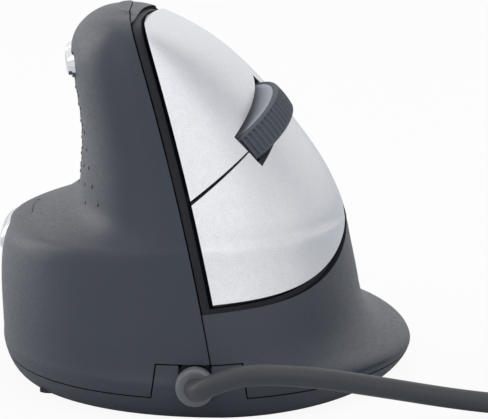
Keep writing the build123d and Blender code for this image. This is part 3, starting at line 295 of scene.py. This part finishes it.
# Cord: the route's points, then the coil, then the tail to the plug
CORD_RADIUS = 1.9
CORD_EXIT = (-0.9, -61.8, 7.6)
CORD_ROUTE = [
    (-0.9, -66.2, 7.6),
    (2.2, -69.2, 10.0),
    (8.6, -70.2, 12.2),
    (20.0, -66.8, 10.9),
    (33.0, -58.6, 7.1),
    (46.0, -52.0, 3.5),
    (57.0, -50.4, 1.9),
    (70.0, -50.0, 1.9),
]
CORD_TAIL = [
    (113.7, -8.0, 15.1),
    (113.2, 4.0, 10.5),
    (113.0, 15.0, 5.3),
    (113.0, 24.0, 4.0),
    (113.0, 32.0, 4.0),
]
COIL_CENTRE = (86.0, -23.4)
COIL_RADIUS = 26.6
COIL_PITCH = 4.4
COIL_LAYERS = 4
LAYER_TURNS = 2.5
COIL_TURNS = 10.25
CLIMB_HALF_TURNS = 0.25
POINTS_PER_TURN = 20
FRONT_TURN = 0.25


def coil_point(turns):
    # The coil's line, pushed out a little because the spline runs inside its points. It starts at
    # the coil's front, and each layer runs inwards or outwards, against the one below it.
    layer = min(int(turns / LAYER_TURNS), COIL_LAYERS - 1)
    done = turns - layer * LAYER_TURNS
    inner = COIL_RADIUS - COIL_PITCH * LAYER_TURNS
    radius = COIL_RADIUS - COIL_PITCH * done if layer % 2 == 0 else inner + COIL_PITCH * done
    height = CORD_RADIUS + layer * COIL_PITCH
    for reversal in range(1, COIL_LAYERS):
        away = turns - reversal * LAYER_TURNS
        if abs(away) < CLIMB_HALF_TURNS:
            climbed = reversal - 0.5 + away / (2 * CLIMB_HALF_TURNS)
            height = CORD_RADIUS + COIL_PITCH * climbed
    angle = math.tau * (turns - FRONT_TURN)
    radius /= math.cos(math.pi / POINTS_PER_TURN)
    x, y = COIL_CENTRE
    return (x + radius * math.cos(angle), y + radius * math.sin(angle), height)


def add_cord():
    coil_start = (COIL_CENTRE[0] - 2 * CORD_RADIUS, COIL_CENTRE[1] - COIL_RADIUS, CORD_RADIUS)
    steps = round(COIL_TURNS * POINTS_PER_TURN)
    coil = [coil_point((step + 0.5) / POINTS_PER_TURN) for step in range(steps)]
    points = [CORD_EXIT, *CORD_ROUTE, coil_start, *coil, *CORD_TAIL]
    data = bpy.data.curves.new("mouse_cord", "CURVE")
    data.dimensions = "3D"
    data.bevel_depth = CORD_RADIUS * MM
    data.bevel_resolution = 5
    data.resolution_u = 6
    spline = data.splines.new("NURBS")
    spline.points.add(len(points) - 1)
    for point, spot in zip(spline.points, points):
        point.co = (*(Vector(spot) * MM), 1)
    spline.order_u = 3
    spline.use_endpoint_u = True
    data.materials.append(materials["cord_jacket"])
    cord = bpy.data.objects.new("mouse_cord", data)
    bpy.context.scene.collection.objects.link(cord)
    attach(cord, "housing")
    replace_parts(cord, "cord", "cord_coil", "cord_tail")


add_cord()

# The shell's thumb side, which the dots, the trim and the web are laid on
OUTSIDE_X = -80
thumb_side = BVHTree.FromObject(nodes["thumb_shell"], bpy.context.evaluated_depsgraph_get())


def side_hit(y, z):
    # Where a line across the mouse first meets the thumb side, and the way that it faces there.
    return thumb_side.ray_cast(Vector((OUTSIDE_X, y, z)) * MM, Vector((1, 0, 0)))[:2]


def side_x(y, z):
    return side_hit(y, z)[0].x / MM


# Grip dots on the thumb wall: those that the photograph shows, by where they are in it, and rows
# that carry them on round the wall towards the heel, each with its height and its first dot's y
DOTS_IN_VIEW = [
    (78.3, 96.2), (80.9, 113.3), (82.5, 129.5), (84.5, 132.3), (82.9, 147.0), (86.7, 149.7),
    (81.2, 163.0), (84.2, 165.4), (88.7, 167.8), (79.4, 181.3), (85.0, 184.0), (92.0, 186.4),
    (85.6, 202.3), (97.7, 205.1),
]
DOT_ROWS = [
    (56.7, -27.0), (53.6, -28.0), (50.3, -27.0), (46.9, -25.0), (43.4, -22.0), (39.8, -15.0),
]
DOT_PITCH = 6.0
DOT_COLUMNS = 6
DOT_RADIUS = 0.42
DOT_RISE = 0.16
DOT_SIDES = 14
# Shares of the radius and of the rise, from the foot in the wall to the flat top
DOT_PROFILE = ((1.0, -0.5), (0.92, 0.35), (0.62, 0.8), (0.25, 0.98))


def dot_spots():
    # Where each dot sits on the shell, and the way that it faces.
    spots = [thumb_side.ray_cast(*camera_ray(pixel))[:2] for pixel in DOTS_IN_VIEW]
    for height, start in DOT_ROWS:
        spots += [side_hit(start + column * DOT_PITCH, height) for column in range(DOT_COLUMNS)]
    return [(spot, facing) for spot, facing in spots if spot is not None]


def add_dots():
    mesh = bmesh.new()
    for spot, facing in dot_spots():
        turned = facing.normalized().to_track_quat("Z", "Y").to_matrix()
        rings = []
        for share, rise in DOT_PROFILE:
            ring = []
            for side in range(DOT_SIDES):
                angle = math.tau * side / DOT_SIDES
                flat = Vector((math.cos(angle), math.sin(angle), 0)) * share * DOT_RADIUS
                place = flat + Vector((0, 0, rise * DOT_RISE))
                ring.append(mesh.verts.new(spot + turned @ place * MM))
            rings.append(ring)
        for low, high in zip(rings, rings[1:]):
            skin(mesh, low, high)
        mesh.faces.new(rings[-1])
        mesh.faces.new(tuple(reversed(rings[0])))
    dots = piece_from(mesh, "grip_dots")
    # The dots' near-black finish is painted shade for the shade inside dimples, not a darker plastic
    dots.data.materials.append(materials["grip_dot_painted_shade"])
    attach(dots, "housing")


add_dots()

# Scroll wheel: a ribbed tyre with rounded shoulders, and a hub that fills it to its side faces.
# A section's rows say how far out from the wheel's middle and from its axis a point is, and how
# much of the ribs' depth is cut there.
TYRE_SECTION = [
    (2.62, 9.60, 0), (2.72, 10.66, 0), (2.80, 10.82, 0), (2.78, 11.02, 0), (2.66, 11.22, 0),
    (2.50, 11.38, 0), (2.40, 11.44, 0), (2.32, 11.48, 0), (2.15, 11.52, 1), (1.20, 11.62, 1),
    (0.40, 11.66, 1),
]
HUB_SECTION = [
    (2.60, 10.64, 0), (2.70, 10.54, 0), (2.70, 9.40, 0), (2.55, 8.60, 0), (2.40, 4.20, 0),
    (2.55, 3.20, 0), (2.55, 1.25, 0),
]
TYRE_RIBS = 66
RIB_PROFILE = (0.0, 0.0, 0.12, 0.36, 0.42, 0.36, 0.12)
HUB_SIDES = 96


def turned_piece(name, section, sides, spin, cuts=(0,)):
    # A ring turned about the wheel's axis, from its half section and the mirror image of it, with
    # the cuts between its ribs repeated round it.
    rows = section + [(-offset, radius, share) for offset, radius, share in reversed(section)]
    middle = Vector(spin["pos_m"])
    upright = Vector(spin["axis"]).normalized().to_track_quat("Z", "Y").to_matrix()
    mesh = bmesh.new()
    rings = []
    for side in range(sides):
        angle = math.tau * side / sides
        ring = []
        for offset, radius, share in rows:
            radius -= cuts[side % len(cuts)] * share
            spot = Vector((radius * math.cos(angle), radius * math.sin(angle), offset)) * MM
            ring.append(mesh.verts.new(middle + upright @ spot))
        rings.append(ring)
    for ring, after in zip(rings, rings[1:] + rings[:1]):
        skin(mesh, ring, after)
    bmesh.ops.recalc_face_normals(mesh, faces=mesh.faces)
    return piece_from(mesh, name)


def add_wheel():
    spin = next(joint for joint in frame["joints"] if joint["name"] == "wheel_spin")
    tyre_sides = TYRE_RIBS * len(RIB_PROFILE)
    tyre = turned_piece("ribbed_tyre", TYRE_SECTION, tyre_sides, spin, RIB_PROFILE)
    hub = turned_piece("flush_hub", HUB_SECTION, HUB_SIDES, spin)
    for piece, node, slot in ((tyre, "wheel_tyre", "rubber"), (hub, "wheel_hub", "grey_hub")):
        piece.data.materials.append(materials[slot])
        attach(piece, "wheel")
        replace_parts(piece, node)


add_wheel()

# Thumb trim: a crowned plate on the shell's side, over a bed that fills its pocket flush. A
# place says the plate's middle in y and z, half of its straight run and its ends' radius.
BED_PLACE = (-3.0, 27.43, 8.0, 3.42)
TRIM_PLACE = (-3.0, 26.7, 8.6, 2.45)
POCKET_DEPTH = 0.7
TRIM_CROWN = 0.7
TRIM_EDGE = 1.2
PLATE_GAP = 0.05
PLATE_COLUMNS = 44
PLATE_ROWS = 18
# Share of the half turn that the rows cover, so that the first and the last have a length
ROW_SWEEP = 0.98


def rim_of(grid):
    # The points round a grid's edge, in order.
    end_side = [row[-1] for row in grid[1:]]
    start_side = [row[0] for row in grid[-2:0:-1]]
    return grid[0] + end_side + grid[-1][-2::-1] + start_side


def add_plate(name, place, crown, slot):
    middle_y, middle_z, half_run, radius = place
    mesh = bmesh.new()
    fronts, backs = [], []
    for row in range(PLATE_ROWS + 1):
        tilt = math.pi * (row / PLATE_ROWS - 0.5) * ROW_SWEEP
        rise = radius * math.sin(tilt)
        reach = half_run + radius * math.cos(tilt)
        front, back = [], []
        for column in range(PLATE_COLUMNS + 1):
            along = reach * math.sin(math.pi / 2 * (2 * column / PLATE_COLUMNS - 1))
            past = math.hypot(max(abs(along) - half_run, 0), rise)
            edge = min(max(radius - past, 0) / TRIM_EDGE, 1)
            y, z = middle_y + along, middle_z + rise
            floor = side_x(y, z)
            height = POCKET_DEPTH + crown * math.sqrt(1 - (1 - edge) ** 2)
            front.append(mesh.verts.new(Vector((floor - height, y, z)) * MM))
            back.append(mesh.verts.new(Vector((floor - PLATE_GAP, y, z)) * MM))
        fronts.append(front)
        backs.append(back)
    for grid in (fronts, backs):
        for low, high in zip(grid, grid[1:]):
            skin(mesh, low, high, closed=False)
    skin(mesh, rim_of(fronts), rim_of(backs))
    bmesh.ops.recalc_face_normals(mesh, faces=mesh.faces)
    plate = piece_from(mesh, name)
    plate.data.materials.append(materials[slot])
    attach(plate, "housing")
    return plate


add_plate("trim_bed", BED_PLACE, 0, "black_shell")
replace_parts(add_plate("thumb_trim_plate", TRIM_PLACE, TRIM_CROWN, "chrome"), "thumb_trim")

# Web behind the slit in the shell's wall, where the thumb shelf runs out towards the heel
WEB_SPAN = (28.0, 45.0)
WEB_HEIGHTS = (30.5, 32.0)
WEB_STEPS = 16
# How far inside the wall's outer surface the web's face and its back are
WEB_FACE = 0.45
WEB_BACK = 2


def add_web():
    mesh = bmesh.new()
    start, end = WEB_SPAN
    low_z, high_z = WEB_HEIGHTS
    rings = []
    for step in range(WEB_STEPS + 1):
        y = start + (end - start) * step / WEB_STEPS
        low_x, high_x = side_x(y, low_z), side_x(y, high_z)
        corners = [
            (low_x + WEB_FACE, low_z),
            (high_x + WEB_FACE, high_z),
            (high_x + WEB_BACK, high_z),
            (low_x + WEB_BACK, low_z),
        ]
        rings.append([mesh.verts.new(Vector((x, y, z)) * MM) for x, z in corners])
    for ring, after in zip(rings, rings[1:]):
        skin(mesh, ring, after)
    mesh.faces.new(rings[0])
    mesh.faces.new(rings[-1])
    bmesh.ops.recalc_face_normals(mesh, faces=mesh.faces)
    web = piece_from(mesh, "shelf_web")
    web.data.materials.append(materials["black_shell"])
    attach(web, "housing")


add_web()

# Floor, backdrop and lamps, in metres and watts
WHITE = (1, 1, 1, 1)
FLOOR_HALF = 3.0
FLOOR_DROP = 0.0001
FLOOR_WHITENESS = 0.93
SOFT_BLUE = (0.88, 0.94, 1.0, 1)
CLOTH_SCALE = 1.6
CLOTH = [(0.35, (0.68, 0.685, 0.70)), (0.50, (0.86, 0.865, 0.88)), (0.64, (1.0, 1.0, 1.0))]
# Name, place, aim, size and power
LAMPS = [
    ("key_light", (0.75, -0.6, 0.85), (0.02, 0, 0.03), (1.2, 1.2), 1.5),
    ("fill_light", (-0.8, -0.6, 0.55), (0, 0, 0.03), (1.0, 1.0), 1.4),
    ("top_light", (0, 0.1, 0.9), (0, 0, 0.03), (1.0, 1.0), 2.4),
    ("rim_light", (-0.6, 0.4, 0.2), (-0.02, 0, 0.03), (0.5, 0.6), 1.2),
]


def mix_shaders(tree, factor, first, second):
    mix = add_node(tree, "ShaderNodeMixShader")
    for socket, source in zip(mix.inputs, (factor, first, second)):
        tree.links.new(source, socket)
    return mix.outputs[0]


def add_floor():
    # The camera sees it nearly white, with a faint shadow, and all else sees it shaded.
    material, tree, shader = new_material("studio_floor")
    shader.inputs["Base Color"].default_value = (0.86, 0.86, 0.87, 1)
    shader.inputs["Roughness"].default_value = 0.9
    glow = add_node(tree, "ShaderNodeEmission", Color=WHITE, Strength=1.0)
    path = add_node(tree, "ShaderNodeLightPath")
    share = add_node(tree, "ShaderNodeMath", operation="MULTIPLY")
    share.inputs[1].default_value = FLOOR_WHITENESS
    tree.links.new(path.outputs["Is Camera Ray"], share.inputs[0])
    mixed = mix_shaders(tree, share.outputs[0], shader.outputs[0], glow.outputs[0])
    tree.links.new(mixed, tree.nodes["Material Output"].inputs["Surface"])
    mesh = bpy.data.meshes.new("studio_floor")
    corners = [(x * FLOOR_HALF, y * FLOOR_HALF, 0) for x, y in ((-1, -1), (1, -1), (1, 1), (-1, 1))]
    mesh.from_pydata(corners, [], [(0, 1, 2, 3)])
    mesh.materials.append(material)
    floor = bpy.data.objects.new("studio_floor", mesh)
    floor.location = (0, 0, -FLOOR_DROP)
    bpy.context.scene.collection.objects.link(floor)


def add_world():
    # White to the camera and through clear pieces, cloudy white cloth in reflections, and an even,
    # slightly blue light for all else.
    world = bpy.data.worlds.new("studio")
    bpy.context.scene.world = world
    world.use_nodes = True
    tree = world.node_tree
    tree.nodes.clear()
    path = add_node(tree, "ShaderNodeLightPath")
    seen = add_node(tree, "ShaderNodeMath", operation="MAXIMUM")
    tree.links.new(path.outputs["Is Camera Ray"], seen.inputs[0])
    tree.links.new(path.outputs["Is Transmission Ray"], seen.inputs[1])
    soft = add_node(tree, "ShaderNodeBackground", Color=SOFT_BLUE, Strength=0.5)
    cloth = add_node(tree, "ShaderNodeBackground", Strength=1.0)
    white = add_node(tree, "ShaderNodeBackground", Color=WHITE, Strength=1.0)
    where = add_node(tree, "ShaderNodeTexCoord")
    clouds = add_node(tree, "ShaderNodeTexNoise", Scale=CLOTH_SCALE, Detail=1.0)
    tree.links.new(where.outputs["Generated"], clouds.inputs["Vector"])
    tree.links.new(ramp(tree, clouds.outputs["Fac"], CLOTH), cloth.inputs["Color"])
    glossy = path.outputs["Is Glossy Ray"]
    reflected = mix_shaders(tree, glossy, soft.outputs[0], cloth.outputs[0])
    mixed = mix_shaders(tree, seen.outputs[0], reflected, white.outputs[0])
    output = add_node(tree, "ShaderNodeOutputWorld")
    tree.links.new(mixed, output.inputs["Surface"])


def add_lamp(name, place, aim, size, power):
    data = bpy.data.lights.new(name, "AREA")
    data.shape = "RECTANGLE"
    data.size, data.size_y = size
    data.energy = power
    lamp = bpy.data.objects.new(name, data)
    lamp.location = place
    lamp.rotation_euler = (Vector(aim) - Vector(place)).to_track_quat("-Z", "Y").to_euler()
    bpy.context.scene.collection.objects.link(lamp)


add_floor()
add_world()
for lamp in LAMPS:
    add_lamp(*lamp)
bpy.context.scene.view_settings.view_transform = "Standard"
